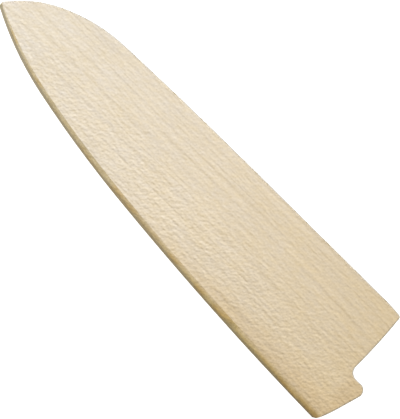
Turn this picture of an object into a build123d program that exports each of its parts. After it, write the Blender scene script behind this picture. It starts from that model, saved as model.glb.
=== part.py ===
from build123d import *
import math
import os

# Knife blade guard: two boards glued face to face, with the blade pocket milled into
# their inner faces and pairs of disc magnets let into the pocket floors.
# Millimetres. +X runs from the tip to the mouth, +Y from the cutting edge to the spine,
# +Z from the back face to the front face. The origin lies in the middle of the back face.

# Driving sizes of the guard
guard_length = 212.6        # tip to heel lug, over the sharp corners of the outline
guard_width = 53.4          # spine line to the lowest point of the cutting-edge side
board_thickness = 6.5       # each of the two boards
wall_thickness = 3.5        # wood left beside the pocket along the spine and the edge
slot_thickness = 4.4        # room for the blade across the two pockets

# Outline, seen from the front: shares of the length from the tip, and of the width
# from the middle line
tip_rise_share = 0.063                  # height of the tip above the middle line
spine_bend_share = 0.537                # where the straight spine starts to bend
spine_rear_shares = (0.2210, 0.4801)    # joints between the three arcs of the spine
spine_front_shares = (0.0867, 0.3493)
spine_end_length = 8.9                  # last part of the spine, bent down to the mouth
spine_end_drop = 0.56
belly_rear_shares = (0.4076, -0.3483)   # joints between the three arcs of the belly
belly_front_shares = (0.1697, -0.1914)
belly_end_angle = 1.54                  # degrees, slope of the belly at the heel

# Mouth, notch and heel lug
lug_length = 10.74          # notch to the sharp corner of the lug
lug_height = 22.36          # lug above the lowest point of the cutting-edge side
mouth_lean = 1.16           # degrees, mouth against a square cut
mouth_bulge = 0.45          # how far the mouth bows out of its chord
heel_lean = 17.15           # degrees, straight part of the heel end against a square cut
heel_bend_height = 8.6      # from here down to the heel corner the heel end bends in
heel_setback = 0.83         # how far the bend takes the heel corner back
nose_radius = 0.8
spine_corner_radius = 1.3
notch_radius = 3.5
lug_corner_radius = 3.1
heel_corner_radius = 0.8

# Rounding of the outer edges
belly_round_radius = 4.5    # quarter round along the cutting-edge side
belly_round_rise = 0.36     # its top above the face at the heel, leaves a crisp line
belly_round_climb = 1.06    # how much higher it runs at the tip, so that it fades out
front_drift = 0.2           # quarter round off the belly line at the front joint of its arcs
tip_drift = 0.9             # and at the tip
belly_round_overhang = 0.08 # quarter round past the side of the board
outer_ease = 0.8            # all other outer edges
lip_ease = 0.5              # pocket edges at the mouth, where the blade goes in

# Pocket and magnets
pocket_tip_radius = 3.0     # cutter radius left in the pocket's tip
magnet_diameter = 10.0
magnet_thickness = 2.0
magnet_clearance = 0.1      # radial play of a magnet in its bore
magnet_recess = 0.3         # magnet below the pocket floor, so the blade clears it
magnet_depth = 17.0         # magnet centres below the spine line
magnet_first = 62.0         # first magnet behind the tip
magnet_spacing = 50.0
magnet_count = 3
magnet_bevel = 0.2          # bevel of a magnet's rims

overrun = 12.0              # how far cutting tools run past the wood
outline_tolerance = 0.01    # how far an edge may lie from the outline and count as on it

pocket_depth = slot_thickness / 2
half_width = guard_width / 2


def along(x_share, y_share):
    """Point of the outline, from a share of the length and one of the width."""
    return Vector(x_share * guard_length, y_share * guard_width)


tip = along(0, tip_rise_share)


def heel_corner():
    """Sharp corner where the belly meets the heel end."""
    lean = lug_height * math.tan(math.radians(heel_lean))
    return Vector(guard_length - lean - heel_setback, -half_width)


def spine_arcs():
    """Three tangent arcs of the spine, from its straight part to the tip."""
    start = along(spine_bend_share, 0) + Vector(0, half_width)
    rear = TangentArc(start, along(*spine_rear_shares), tangent=(-1, 0))
    middle = TangentArc(rear @ 1, along(*spine_front_shares), tangent=rear % 1)
    front = TangentArc(middle @ 1, tip, tangent=middle % 1)
    return [rear, middle, front]


def belly_arcs(front_shift=0, tip_shift=0):
    """Three tangent arcs of the cutting-edge side, from the heel to the tip.

    The shifts take the front joint and the front end outwards.
    """
    slope = math.radians(belly_end_angle)
    front_joint = along(*belly_front_shares) - Vector(0, front_shift)
    front_end = tip - Vector(0, tip_shift)
    rear = TangentArc(heel_corner(), along(*belly_rear_shares), tangent=(-math.cos(slope), math.sin(slope)))
    middle = TangentArc(rear @ 1, front_joint, tangent=rear % 1)
    front = TangentArc(middle @ 1, front_end, tangent=middle % 1)
    return [rear, middle, front]


def closed_face(edges):
    return make_face(Wire(edges))


def round_corner(face, corner, radius):
    """Round the corner of a flat face that lies nearest to a point."""
    vertex = face.vertices().sort_by_distance(corner)[0]
    return fillet(vertex, radius=radius)


def spine_end(mouth_top):
    """Rear end of the spine: bent down to the mouth, straight in front of that."""
    bend = Vector(mouth_top.X - spine_end_length, half_width)
    return [TangentArc(bend, mouth_top, tangent=(1, 0)), Line(bend, spine_arcs()[0] @ 0)]


def heel_end(lug_corner):
    """Heel end: straight below the lug, then bent in to the heel corner."""
    fall = lug_height - heel_bend_height
    bend = lug_corner - Vector(fall * math.tan(math.radians(heel_lean)), fall)
    return [Line(lug_corner, bend), TangentArc(bend, heel_corner(), tangent=bend - lug_corner)]


def outline_face():
    """Outer shape of the guard with its notched mouth."""
    notch = Vector(guard_length - lug_length, lug_height - half_width)
    mouth_height = half_width - notch.Y
    mouth_back = mouth_height * math.tan(math.radians(mouth_lean))
    mouth_top = Vector(notch.X - mouth_back, half_width - spine_end_drop)
    lug_corner = Vector(guard_length, notch.Y)
    edges = [*spine_end(mouth_top), *spine_arcs(), *belly_arcs(), *heel_end(lug_corner)]
    edges += [Line(lug_corner, notch), SagittaArc(mouth_top, notch, mouth_bulge)]
    face = closed_face(edges)
    corners = [(tip, nose_radius), (mouth_top, spine_corner_radius), (notch, notch_radius)]
    corners += [(lug_corner, lug_corner_radius), (heel_corner(), heel_corner_radius)]
    for corner, radius in corners:
        face = round_corner(face, corner, radius)
    return face


def pocket_face():
    """Blade pocket: the outline without its mouth, drawn in by the wall, open past the heel."""
    spine = spine_arcs()
    far = guard_length + overrun
    top_end = Vector(far, half_width)
    run_out = (far - heel_corner().X) * math.tan(math.radians(belly_end_angle))
    low_end = heel_corner() - Vector(heel_corner().X - far, run_out)
    edges = [Line(top_end, spine[0] @ 0), *spine, *belly_arcs()]
    edges += [Line(heel_corner(), low_end), Line(low_end, top_end)]
    inner = offset(closed_face(edges), amount=-wall_thickness, kind=Kind.INTERSECTION)
    return round_corner(inner, tip, pocket_tip_radius)


def belly_round():
    """Quarter-round cutter along the cutting-edge side of a board, past the tip and the heel."""
    heel = heel_corner()
    arcs = belly_arcs(front_drift, tip_drift)
    front_end = arcs[-1] @ 1
    heel_way = (arcs[0] % 0) * -overrun
    tip_way = (arcs[-1] % 1) * overrun
    path = Wire([Line(heel + heel_way, heel), *arcs, Line(front_end, front_end + tip_way)])
    near = -belly_round_overhang
    far = near + belly_round_radius
    top = belly_round_rise
    low = top - belly_round_radius
    bow = RadiusArc((near, low), (far, top), belly_round_radius)
    sides = Polyline((far, top), (far, overrun), (-overrun, overrun), (-overrun, low), (near, low))
    backward = path % 0 * -1
    inward = Vector(-backward.Y, backward.X)
    start = Plane(path @ 0, x_dir=inward, z_dir=backward)
    cutter = sweep(start * closed_face([bow, *sides.edges()]), path=path)
    climb = math.degrees(math.atan2(belly_round_climb, guard_length))
    return Pos(heel.X, 0, board_thickness) * Rot(0, climb, 0) * Pos(-heel.X, 0, 0) * cutter


def rim_edges(board, outline, height):
    """Edges of a board at one height that lie on the guard's outline."""
    rim = Pos(0, 0, height) * outline.face().outer_wire()
    level = board.edges().filter_by_position(Axis.Z, height, height)
    return level.filter_by(lambda edge: rim.distance_to(edge @ 0.5) < outline_tolerance)


def magnet_places():
    """Magnet centres, in a row parallel to the spine."""
    height = half_width - magnet_depth
    return [Vector(magnet_first + number * magnet_spacing, height) for number in range(magnet_count)]


def standing_disc(diameter, thickness, place, foot):
    """Disc along Z with its lower face at the height of its foot."""
    disc = Cylinder(diameter / 2, thickness, align=(Align.CENTER, Align.CENTER, Align.MIN))
    return Pos(place.X, place.Y, foot) * disc


def make_board(outline):
    """One board, inner face at height zero: eased and rounded rim, pocket, eased lip and bores."""
    board = extrude(outline, amount=board_thickness)
    board = fillet(rim_edges(board, outline, board_thickness), radius=outer_ease)
    board -= belly_round()
    board -= extrude(pocket_face(), amount=pocket_depth)
    board = fillet(rim_edges(board, outline, pocket_depth), radius=lip_ease)
    bore_diameter = magnet_diameter + 2 * magnet_clearance
    for place in magnet_places():
        board -= standing_disc(bore_diameter, magnet_recess + magnet_thickness, place, pocket_depth)
    return board


def make_magnet(place):
    """Disc magnet on the floor of its bore."""
    magnet = standing_disc(magnet_diameter, magnet_thickness, place, pocket_depth + magnet_recess)
    return chamfer(magnet.edges().filter_by(GeomType.CIRCLE), length=magnet_bevel)


def guard_parts():
    """All pieces in place, by node name."""
    outline = outline_face()
    middle = outline.bounding_box().center()
    pieces = {"board": make_board(outline)}
    for number, place in enumerate(magnet_places(), start=1):
        pieces[f"magnet_{number}"] = make_magnet(place)
    seam = Pos(-middle.X, -middle.Y, board_thickness)
    placed = {}
    for name, piece in pieces.items():
        placed[f"front_{name}"] = seam * piece
        placed[f"back_{name}"] = seam * mirror(piece, about=Plane.XY)
    return placed


os.makedirs("parts", exist_ok=True)
for name, piece in guard_parts().items():
    export_step(piece, f"parts/{name}.step")
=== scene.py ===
import math
import bpy
from mathutils import Color, Matrix, Vector


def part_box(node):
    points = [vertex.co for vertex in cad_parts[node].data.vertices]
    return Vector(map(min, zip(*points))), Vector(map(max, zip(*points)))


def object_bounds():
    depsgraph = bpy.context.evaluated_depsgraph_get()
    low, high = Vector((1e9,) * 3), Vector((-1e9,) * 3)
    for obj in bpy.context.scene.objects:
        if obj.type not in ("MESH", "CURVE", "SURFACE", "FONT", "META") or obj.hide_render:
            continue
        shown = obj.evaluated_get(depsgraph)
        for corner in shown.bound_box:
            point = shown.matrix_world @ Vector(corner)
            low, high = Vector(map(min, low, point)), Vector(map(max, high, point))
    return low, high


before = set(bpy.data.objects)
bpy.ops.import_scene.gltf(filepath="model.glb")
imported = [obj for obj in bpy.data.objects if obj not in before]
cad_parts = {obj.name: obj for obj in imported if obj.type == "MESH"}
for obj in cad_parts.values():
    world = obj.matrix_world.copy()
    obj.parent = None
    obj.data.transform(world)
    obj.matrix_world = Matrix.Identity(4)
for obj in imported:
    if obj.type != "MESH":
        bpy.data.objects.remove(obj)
cad_low, cad_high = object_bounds()

# Lengths are in metres, angles in degrees. +X runs from the tip to the mouth, +Y from the
# cutting edge to the spine and +Z from the back face to the front face.
board_low, board_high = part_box("front_board")
seam_height = board_low.z
board_thickness = board_high.z - board_low.z
guard_length = board_high.x - board_low.x
guard_width = board_high.y - board_low.y
guard_middle = Vector((0, 0, seam_height))

# Camera, read off the outline of the guard in the photograph
photo_width = 400
photo_height = 419
middle_pixel = (184.13, 196.75)
pixels_per_metre = 2513.3
camera_distance = 1.3
tilt_to_edge = 6.41
tilt_to_mouth = -4.04
camera_roll = 44.60
sensor_width = 36

# Light and floor
key_place = (-0.30, 0.20, 1.1)
key_size = 0.6
key_power = 7.5
tip_light_place = (-1.0, -0.15, 0.25)
tip_light_size = 0.4
tip_light_power = 1.75
sky_strength = 0.40
white = (1, 1, 1, 1)
floor_reach = 100 * guard_length
floor_gap = 0.0002

# Colours, as display values up to this one
display_top = 255
tip_wood = (234, 222, 201)
middle_wood = (234, 218, 191)
heel_wood = (224, 202, 163)
# Paler rims of the spine: a painted highlight
spine_rim_highlight = (238, 237, 232)
# Grey rims of the mouth and heel: painted grey shade
end_rim_shade = (202, 200, 188)
seam_wood = (150, 120, 80)

# Tints that the wood is multiplied with, as display values
# Rounded cutting-edge side, tip to heel: partly its side grain, partly painted shade
side_grain_and_shade_tints = ((255, 250, 229), (243, 235, 205), (250, 241, 208), (255, 250, 210), (231, 218, 174))
# Painted shade where the rounding of the cutting edge begins, and at the heel end
edge_shade_tint = (248, 243, 234)
# Painted bluish shade on the steep lower part of the cutting-edge side
low_side_shade_tint = (228, 231, 240)
patch_tint = (252, 243, 222)
# Painted shadow at the heel corner
heel_corner_shadow_tint = (196, 178, 140)
nick_tint = (214, 204, 180)

# Where the tints begin and where they are full. Shares count from the middle of the guard, of
# its length or width, but those of the rim's height count from the seam, of a board's thickness.
# Slopes and facings are parts of the surface's direction, from zero or minus one to one, and
# limits are those of a noise.
edge_half_shares = (0.30, -0.25)
edge_strip_shares = (-0.22, -0.41)
edge_rear_shares = (-0.17, 0.17)
edge_heel_shares = (0.45, 0.47)
side_slope = (0.97, 0.55)
side_facing = (0.2, -0.1)
low_side_slope = (0.65, 0.25)
low_side_facing = (-0.2, -0.5)
low_side_shares = (-0.20, 0.35)
end_facing = (0.1, 0.5)
heel_end_shares = (-0.40, -0.48)
heel_end_facing = (0.3, 0.7)
rim_slope = (0.995, 0.85)
rim_foot_slope = (0.05, 0.35)
rim_facing = (0.02, 0.2)
rim_height_shares = (0.55, 0.70)
# How far the spine rims take the painted highlight, and the end rims the painted grey shade
rim_highlight_share = 0.6
end_shade_share = 0.45
patch_limits = (0.0, 0.6)
nick_limits = (0.45, 0.8)

# Growth lines: rings round the middle of the trunk, which lies beside and behind the board.
# They are uneven across it and bend along it, by parts of their spacing.
ring_spacing = 0.0026
trunk_y = 0.100
trunk_z = -0.050
ring_wander = 0.007
ring_drift = (0.090, 0.025, 0.025)
ring_patch = (0.045, 0.004, 0.004)
ring_uneven = 0.5
ring_bend = 0.15
ring_sharpness = 5
ring_patchiness = (0.15, 1)

# Features of the figure, as long, wide and deep as given here
fleck_size = (0.0015, 0.00075, 0.00075)
fleck_angle = 40
ripple_size = (0.0021, 0.0012, 0.0012)
ripple_angle = 20
fibre_size = (0.0042, 0.00085, 0.00085)
grain_size = (0.0007, 0.0007, 0.0007)
streak_size = (0.060, 0.0020, 0.0020)
mottle_size = (0.012, 0.005, 0.005)
blush_size = (0.0030, 0.0015, 0.0015)
patch_size = (0.009, 0.009, 0.009)
nick_size = (0.0016, 0.0016, 0.0016)
stroke_offset = 0.8
stroke_gain = 0.7
fleck_share = 0.60
ripple_share = 0.55
figure_near_spine = 0.40
glue_line = 0.00010
seam_darkness = 0.35

# How far each feature lightens the wood
line_depth = -0.13
figure_depth = 0.175
fibre_depth = 0.055
grain_depth = 0.045
streak_depth = 0.020
mottle_depth = 0.018

# What that, the warm patches and the pink ones do to red, green and blue
shade_gains = (0.90, 1, 1.2)
warmth_gains = (0.01, 0, -0.03)
blush_gains = (0.01, 0, -0.035)

# Surface: depth of the figure, and the growth lines and fibres as parts of it
relief = 0.00002
line_relief = -0.5
fibre_relief = 0.3
wood_roughness = 0.6

# Nickel plating of the magnets
nickel_colour = (205, 203, 196)
nickel_roughness = (0.18, 0.34)
rub_size = (0.0011, 0.0011, 0.0011)
rub_detail = 4

# Seeds of the noise: one for each board, and what the features add to it
front_seed = 0.3
back_seed = 1.1
ring_patch_seed = 1
ripple_seed = 2
fibre_seed = 3
streak_seed = 4
mottle_seed = 5
warmth_seed = 6
blush_seed = 7
patch_seed = 8
nick_seed = 9
grain_seed = 10

noise_limits = (0.3, 0.7)
both_ways = (-1, 1)


def srgb(red, green, blue):
    """Linear colour, with full opacity, from display values."""
    display = Color((red, green, blue)) / display_top
    return (*display.from_srgb_to_scene_linear(), 1)


def make_camera():
    """Camera at the photograph's viewing angle, nearly straight above the front face."""
    lean_x = math.sin(math.radians(tilt_to_mouth))
    lean_y = -math.sin(math.radians(tilt_to_edge))
    back = Vector((lean_x, lean_y, 1)).normalized()
    level_x = Vector((1, 0, 0))
    level_x = (level_x - back * level_x.dot(back)).normalized()
    level_y = back.cross(level_x)
    roll = math.radians(camera_roll)
    right = math.cos(roll) * level_x + math.sin(roll) * level_y
    up = math.cos(roll) * level_y - math.sin(roll) * level_x
    shift_right = (photo_width / 2 - middle_pixel[0]) / pixels_per_metre
    shift_up = (middle_pixel[1] - photo_height / 2) / pixels_per_metre
    place = guard_middle + back * camera_distance + right * shift_right + up * shift_up
    data = bpy.data.cameras.new("photo_camera")
    data.sensor_width = sensor_width
    data.lens = sensor_width * pixels_per_metre * camera_distance / photo_height
    camera = bpy.data.objects.new("photo_camera", data)
    turned = Matrix((right, up, back)).transposed().to_4x4()
    camera.matrix_world = Matrix.Translation(place) @ turned
    bpy.context.scene.collection.objects.link(camera)
    bpy.context.scene.camera = camera


class Paint:
    """Node material with short names for the nodes that the finishes need."""

    def __init__(self, name):
        self.material = bpy.data.materials.new(name)
        self.material.use_nodes = True
        self.tree = self.material.node_tree
        self.shader = self.tree.nodes["Principled BSDF"]

    def put(self, socket, value):
        """Link a node output to a socket, or set the socket to a number or colour."""
        if isinstance(value, bpy.types.NodeSocket):
            self.tree.links.new(value, socket)
        else:
            socket.default_value = value

    def finish(self, **inputs):
        """Set inputs of the shader, named in small letters."""
        for key, value in inputs.items():
            self.put(self.shader.inputs[key.replace("_", " ").title()], value)

    def node(self, kind, **inputs):
        """New node with its inputs, named in small letters."""
        made = self.tree.nodes.new(kind)
        for key, value in inputs.items():
            self.put(made.inputs[key.replace("_", " ").title()], value)
        return made

    def coordinates(self):
        """Place and direction on the piece, in its own frame."""
        outputs = self.node("ShaderNodeTexCoord").outputs
        return outputs["Object"], outputs["Normal"]

    def split(self, vector):
        """Its X, Y and Z."""
        return self.node("ShaderNodeSeparateXYZ", vector=vector).outputs

    def math(self, operation, *values):
        """Result of one operation on values."""
        made = self.tree.nodes.new("ShaderNodeMath")
        made.operation = operation
        for socket, value in zip(made.inputs, values):
            self.put(socket, value)
        return made.outputs[0]

    def times(self, first, *others):
        """Product of values."""
        product = first
        for other in others:
            product = self.math("MULTIPLY", product, other)
        return product

    def sum(self, *terms):
        """Sum of values, each given with its weight."""
        total = 0
        for value, weight in terms:
            total = self.math("MULTIPLY_ADD", value, weight, total)
        return total

    def ramp(self, value, limits, results=(0, 1), smooth=False):
        """Value mapped from its limits to the results, and never past them."""
        made = self.tree.nodes.new("ShaderNodeMapRange")
        made.interpolation_type = "SMOOTHSTEP" if smooth else "LINEAR"
        for socket, number in zip(made.inputs, (value, *limits, *results)):
            self.put(socket, number)
        return made.outputs[0]

    def ramp_by_size(self, value, shares, size, smooth=False):
        """Ramp between two places, given as shares of a size."""
        start, end = shares
        return self.ramp(value, (start * size, end * size), smooth=smooth)

    def field(self, place, size, seed=0, angle=0, detail=1, shift=0):
        """Noise from about minus one to one, its features of a size and turned by an angle.

        The shift moves the whole field across its features.
        """
        turn = math.radians(angle)
        start = (seed - shift * math.sin(turn), seed + shift * math.cos(turn), seed)
        mapping = self.node("ShaderNodeMapping", vector=place, scale=size)
        mapping.vector_type = "TEXTURE"
        mapping.inputs["Location"].default_value = start
        mapping.inputs["Rotation"].default_value = (0, 0, turn)
        noise = self.node("ShaderNodeTexNoise", vector=mapping.outputs[0], scale=1, detail=detail)
        return self.ramp(noise.outputs["Fac"], noise_limits, both_ways)

    def wander(self, value, size, seed):
        """Noise from about minus one to one along a single value."""
        noise = self.tree.nodes.new("ShaderNodeTexNoise")
        noise.noise_dimensions = "1D"
        self.put(noise.inputs["W"], self.math("MULTIPLY_ADD", value, 1 / size, seed))
        self.put(noise.inputs["Scale"], 1)
        self.put(noise.inputs["Detail"], 1)
        return self.ramp(noise.outputs["Fac"], noise_limits, both_ways)

    def blend(self, share, first, second, mode="MIX"):
        """First colour taken towards the second, as far as the share goes."""
        made = self.tree.nodes.new("ShaderNodeMix")
        made.data_type = "RGBA"
        made.blend_type = mode
        colours = [socket for socket in made.inputs if socket.type == "RGBA"]
        self.put(made.inputs[0], share)
        self.put(colours[0], first)
        self.put(colours[1], second)
        return [socket for socket in made.outputs if socket.type == "RGBA"][0]

    def tint(self, share, colour, by):
        """Colour multiplied with a display colour, as far as the share goes."""
        return self.blend(share, colour, srgb(*by), "MULTIPLY")

    def bump(self, height, distance):
        """Direction of the surface with its relief."""
        return self.node("ShaderNodeBump", strength=1, distance=distance, height=height).outputs[0]


def growth_lines(paint, place, seed):
    """Thin lines of late wood, from zero to one, unevenly spaced and uneven in strength."""
    y, z = paint.split(place)[1:]
    across = paint.math("SUBTRACT", y, trunk_y)
    deep = paint.math("SUBTRACT", z, trunk_z)
    radius = paint.math("SQRT", paint.sum((paint.times(across, across), 1), (paint.times(deep, deep), 1)))
    uneven = paint.wander(radius, ring_wander, seed)
    drift = paint.field(place, ring_drift, seed)
    turns = paint.sum((radius, 1 / ring_spacing), (uneven, ring_uneven), (drift, ring_bend))
    wave = paint.math("COSINE", paint.times(turns, math.tau))
    line = paint.math("POWER", paint.ramp(wave, both_ways), ring_sharpness)
    patch = paint.field(place, ring_patch, seed + ring_patch_seed)
    return paint.times(line, paint.ramp(patch, both_ways, ring_patchiness))


def strokes(paint, place, size, seed, angle):
    """Fine strokes of the figure, from about minus one to one, each with a dark and a light side: painted
    shade and painted light of its relief.
    """
    here = paint.field(place, size, seed, angle)
    beside = paint.field(place, size, seed, angle, shift=stroke_offset * size[1])
    return paint.sum((here, stroke_gain), (beside, -stroke_gain))


def slanted_figure(paint, place, y, seed):
    """Slanted flecks and ripples, strongest in the half at the cutting edge."""
    fleck = strokes(paint, place, fleck_size, seed, fleck_angle)
    ripple = strokes(paint, place, ripple_size, seed + ripple_seed, ripple_angle)
    both = paint.sum((fleck, fleck_share), (ripple, ripple_share))
    edge_half = paint.ramp_by_size(y, edge_half_shares, guard_width, smooth=True)
    return paint.times(both, paint.ramp(edge_half, (0, 1), (figure_near_spine, 1)))


def soft_shade(paint, place, seed):
    """Fine grain, long streaks and wide mottling, by how far they lighten the wood."""
    grain = paint.field(place, grain_size, seed + grain_seed)
    streak = paint.field(place, streak_size, seed + streak_seed)
    mottle = paint.field(place, mottle_size, seed + mottle_seed)
    return paint.sum((grain, grain_depth), (streak, streak_depth), (mottle, mottle_depth))


def shade_colour(paint, place, shade, seed):
    """Colour that the wood is multiplied with, from its shade and its warm and pink patches."""
    warmth = paint.field(place, mottle_size, seed + warmth_seed)
    blush = paint.field(place, blush_size, seed + blush_seed, ripple_angle)
    colour = paint.node("ShaderNodeCombineColor")
    for socket, gain, warm, pink in zip(colour.inputs, shade_gains, warmth_gains, blush_gains):
        paint.put(socket, paint.sum((shade, gain), (warmth, warm), (blush, pink), (1, 1)))
    return colour.outputs[0]


def face_wood(paint, x, y):
    """Plain wood of the faces, from the tip over the middle to the heel, with painted shade along the
    cutting-edge side and at the heel end.
    """
    colour = paint.blend(paint.ramp(x, (cad_low.x, 0)), srgb(*tip_wood), srgb(*middle_wood))
    colour = paint.blend(paint.ramp(x, (0, cad_high.x)), colour, srgb(*heel_wood))
    # Painted shade: a darker strip on the face along the cutting edge, towards the heel, and across the
    # heel end
    strip = paint.ramp_by_size(y, edge_strip_shares, guard_width, smooth=True)
    strip = paint.times(strip, paint.ramp_by_size(x, edge_rear_shares, guard_length))
    heel = paint.ramp_by_size(x, edge_heel_shares, guard_length)
    return paint.tint(paint.math("MAXIMUM", strip, heel), colour, edge_shade_tint)


def side_wood(paint, colour, x, level, facing_y, patch):
    """Wood with the tints of the rounded cutting-edge side, evenly spaced along it, partly its side grain
    and partly painted shade, and painted bluish shade low on that side.
    """
    stretch = (cad_high.x - cad_low.x) / (len(side_grain_and_shade_tints) - 1)
    side = srgb(*side_grain_and_shade_tints[0])
    for number, tint in enumerate(side_grain_and_shade_tints[1:]):
        start = cad_low.x + number * stretch
        side = paint.blend(paint.ramp(x, (start, start + stretch)), side, srgb(*tint))
    side = paint.tint(paint.ramp(patch, patch_limits), side, patch_tint)
    # Tints of the rounded side: partly side grain, partly painted shade
    sloped = paint.times(paint.ramp(level, side_slope, smooth=True), paint.ramp(facing_y, side_facing))
    colour = paint.blend(sloped, colour, side, "MULTIPLY")
    # Painted shade: the steep lower side made darker and bluer
    steep = paint.times(paint.ramp(level, low_side_slope), paint.ramp(facing_y, low_side_facing))
    steep = paint.times(steep, paint.ramp_by_size(x, low_side_shares, guard_length))
    return paint.tint(steep, colour, low_side_shade_tint)


def end_rims(paint, colour, y, rim, facing_x):
    """Wood with painted grey shade on the rims of the mouth and heel, and a painted shadow on the end at
    the heel corner.
    """
    # Painted grey shade on the rims that face the ends
    facing = paint.times(rim, paint.ramp(facing_x, end_facing, smooth=True))
    colour = paint.blend(paint.times(facing, end_shade_share), colour, srgb(*end_rim_shade))
    # Painted shadow: the end made darker at the heel corner
    heel = paint.ramp_by_size(y, heel_end_shares, guard_width)
    return paint.tint(paint.times(heel, paint.ramp(facing_x, heel_end_facing)), colour, heel_corner_shadow_tint)


def spine_rims(paint, colour, place, rim, facing_y, seed):
    """Wood with the rims of the spine paler, as a painted highlight, and their small dark nicks."""
    facing = paint.times(rim, paint.ramp(facing_y, rim_facing))
    # Painted highlight: the spine's rims blended towards a paler wood
    colour = paint.blend(paint.times(facing, rim_highlight_share), colour, srgb(*spine_rim_highlight))
    nick = paint.ramp(paint.field(place, nick_size, seed + nick_seed), nick_limits)
    return paint.tint(paint.times(facing, nick), colour, nick_tint)


def tinted_wood(paint, place, direction, off_seam, seed):
    """Wood in its colours by place and direction, with its painted shade and highlights, still without
    its figure.
    """
    x, y = paint.split(place)[:2]
    facing_x, facing_y, facing_z = paint.split(direction)
    level = paint.math("ABSOLUTE", facing_z)
    patch = paint.field(place, patch_size, seed + patch_seed)
    colour = side_wood(paint, face_wood(paint, x, y), x, level, facing_y, patch)
    outside = paint.ramp_by_size(off_seam, rim_height_shares, board_thickness)
    rim = paint.times(outside, paint.ramp(level, rim_slope), paint.ramp(level, rim_foot_slope))
    colour = end_rims(paint, colour, y, rim, facing_x)
    return spine_rims(paint, colour, place, rim, facing_y, seed)


def make_maple(name, seed):
    """Pale bare maple: growth lines along the guard, slanted figure and a thin glue line."""
    paint = Paint(name)
    place, direction = paint.coordinates()
    y, z = paint.split(place)[1:]
    off_seam = paint.math("ABSOLUTE", paint.math("SUBTRACT", z, seam_height))
    colour = tinted_wood(paint, place, direction, off_seam, seed)
    line = growth_lines(paint, place, seed)
    figure = slanted_figure(paint, place, y, seed)
    fibre = strokes(paint, place, fibre_size, seed + fibre_seed, 0)
    shade = paint.sum((line, line_depth), (figure, figure_depth), (fibre, fibre_depth))
    shade = paint.math("ADD", shade, soft_shade(paint, place, seed))
    colour = paint.blend(1, colour, shade_colour(paint, place, shade, seed), "MULTIPLY")
    seam = paint.ramp(off_seam, (glue_line / 2, glue_line), (seam_darkness, 0))
    colour = paint.blend(seam, colour, srgb(*seam_wood))
    height = paint.sum((figure, 1), (line, line_relief), (fibre, fibre_relief))
    paint.finish(base_color=colour, roughness=wood_roughness, normal=paint.bump(height, relief))
    return paint.material


def make_nickel():
    """Bright nickel plating with faint rubbing marks."""
    paint = Paint("nickel_plating")
    place = paint.coordinates()[0]
    rub = paint.field(place, rub_size, detail=rub_detail)
    roughness = paint.ramp(rub, both_ways, nickel_roughness)
    paint.finish(base_color=srgb(*nickel_colour), metallic=1, roughness=roughness)
    return paint.material


def dress_nodes():
    """Maple on the two boards, each with its own figure, and nickel on the magnets."""
    front = make_maple("maple_front", front_seed)
    back = make_maple("maple_back", back_seed)
    finishes = {"front_board": front, "back_board": back}
    nickel = make_nickel()
    for name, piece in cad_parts.items():
        piece.data.materials.clear()
        piece.data.materials.append(finishes.get(name, nickel))


def make_floor():
    """Plain white floor that the guard lies on."""
    mesh = bpy.data.meshes.new("floor")
    corners = [(-1, -1, 0), (1, -1, 0), (1, 1, 0), (-1, 1, 0)]
    mesh.from_pydata([Vector(corner) * floor_reach for corner in corners], [], [range(len(corners))])
    floor = bpy.data.objects.new("floor", mesh)
    floor.location.z = cad_low.z - floor_gap
    bpy.context.scene.collection.objects.link(floor)
    paint = Paint("white_floor")
    paint.finish(emission_color=white, emission_strength=1)
    floor.data.materials.append(paint.material)
    floor.visible_diffuse = False
    floor.visible_glossy = False


def make_light(name, place, size, power):
    """Round lamp that shines at the middle of the guard."""
    data = bpy.data.lights.new(name, "AREA")
    data.shape = "DISK"
    data.size = size
    data.energy = power
    light = bpy.data.objects.new(name, data)
    light.location = place
    light.rotation_mode = "QUATERNION"
    light.rotation_quaternion = (guard_middle - Vector(place)).to_track_quat("-Z", "Y")
    bpy.context.scene.collection.objects.link(light)


def make_sky():
    """Even white light from all round, and colours shown as they are."""
    world = bpy.data.worlds.new("studio")
    world.use_nodes = True
    background = world.node_tree.nodes["Background"]
    background.inputs["Color"].default_value = white
    background.inputs["Strength"].default_value = sky_strength
    bpy.context.scene.world = world
    bpy.context.scene.view_settings.view_transform = "Standard"


make_camera()
dress_nodes()
make_floor()
make_light("key_light", key_place, key_size, key_power)
make_light("tip_light", tip_light_place, tip_light_size, tip_light_power)
make_sky()
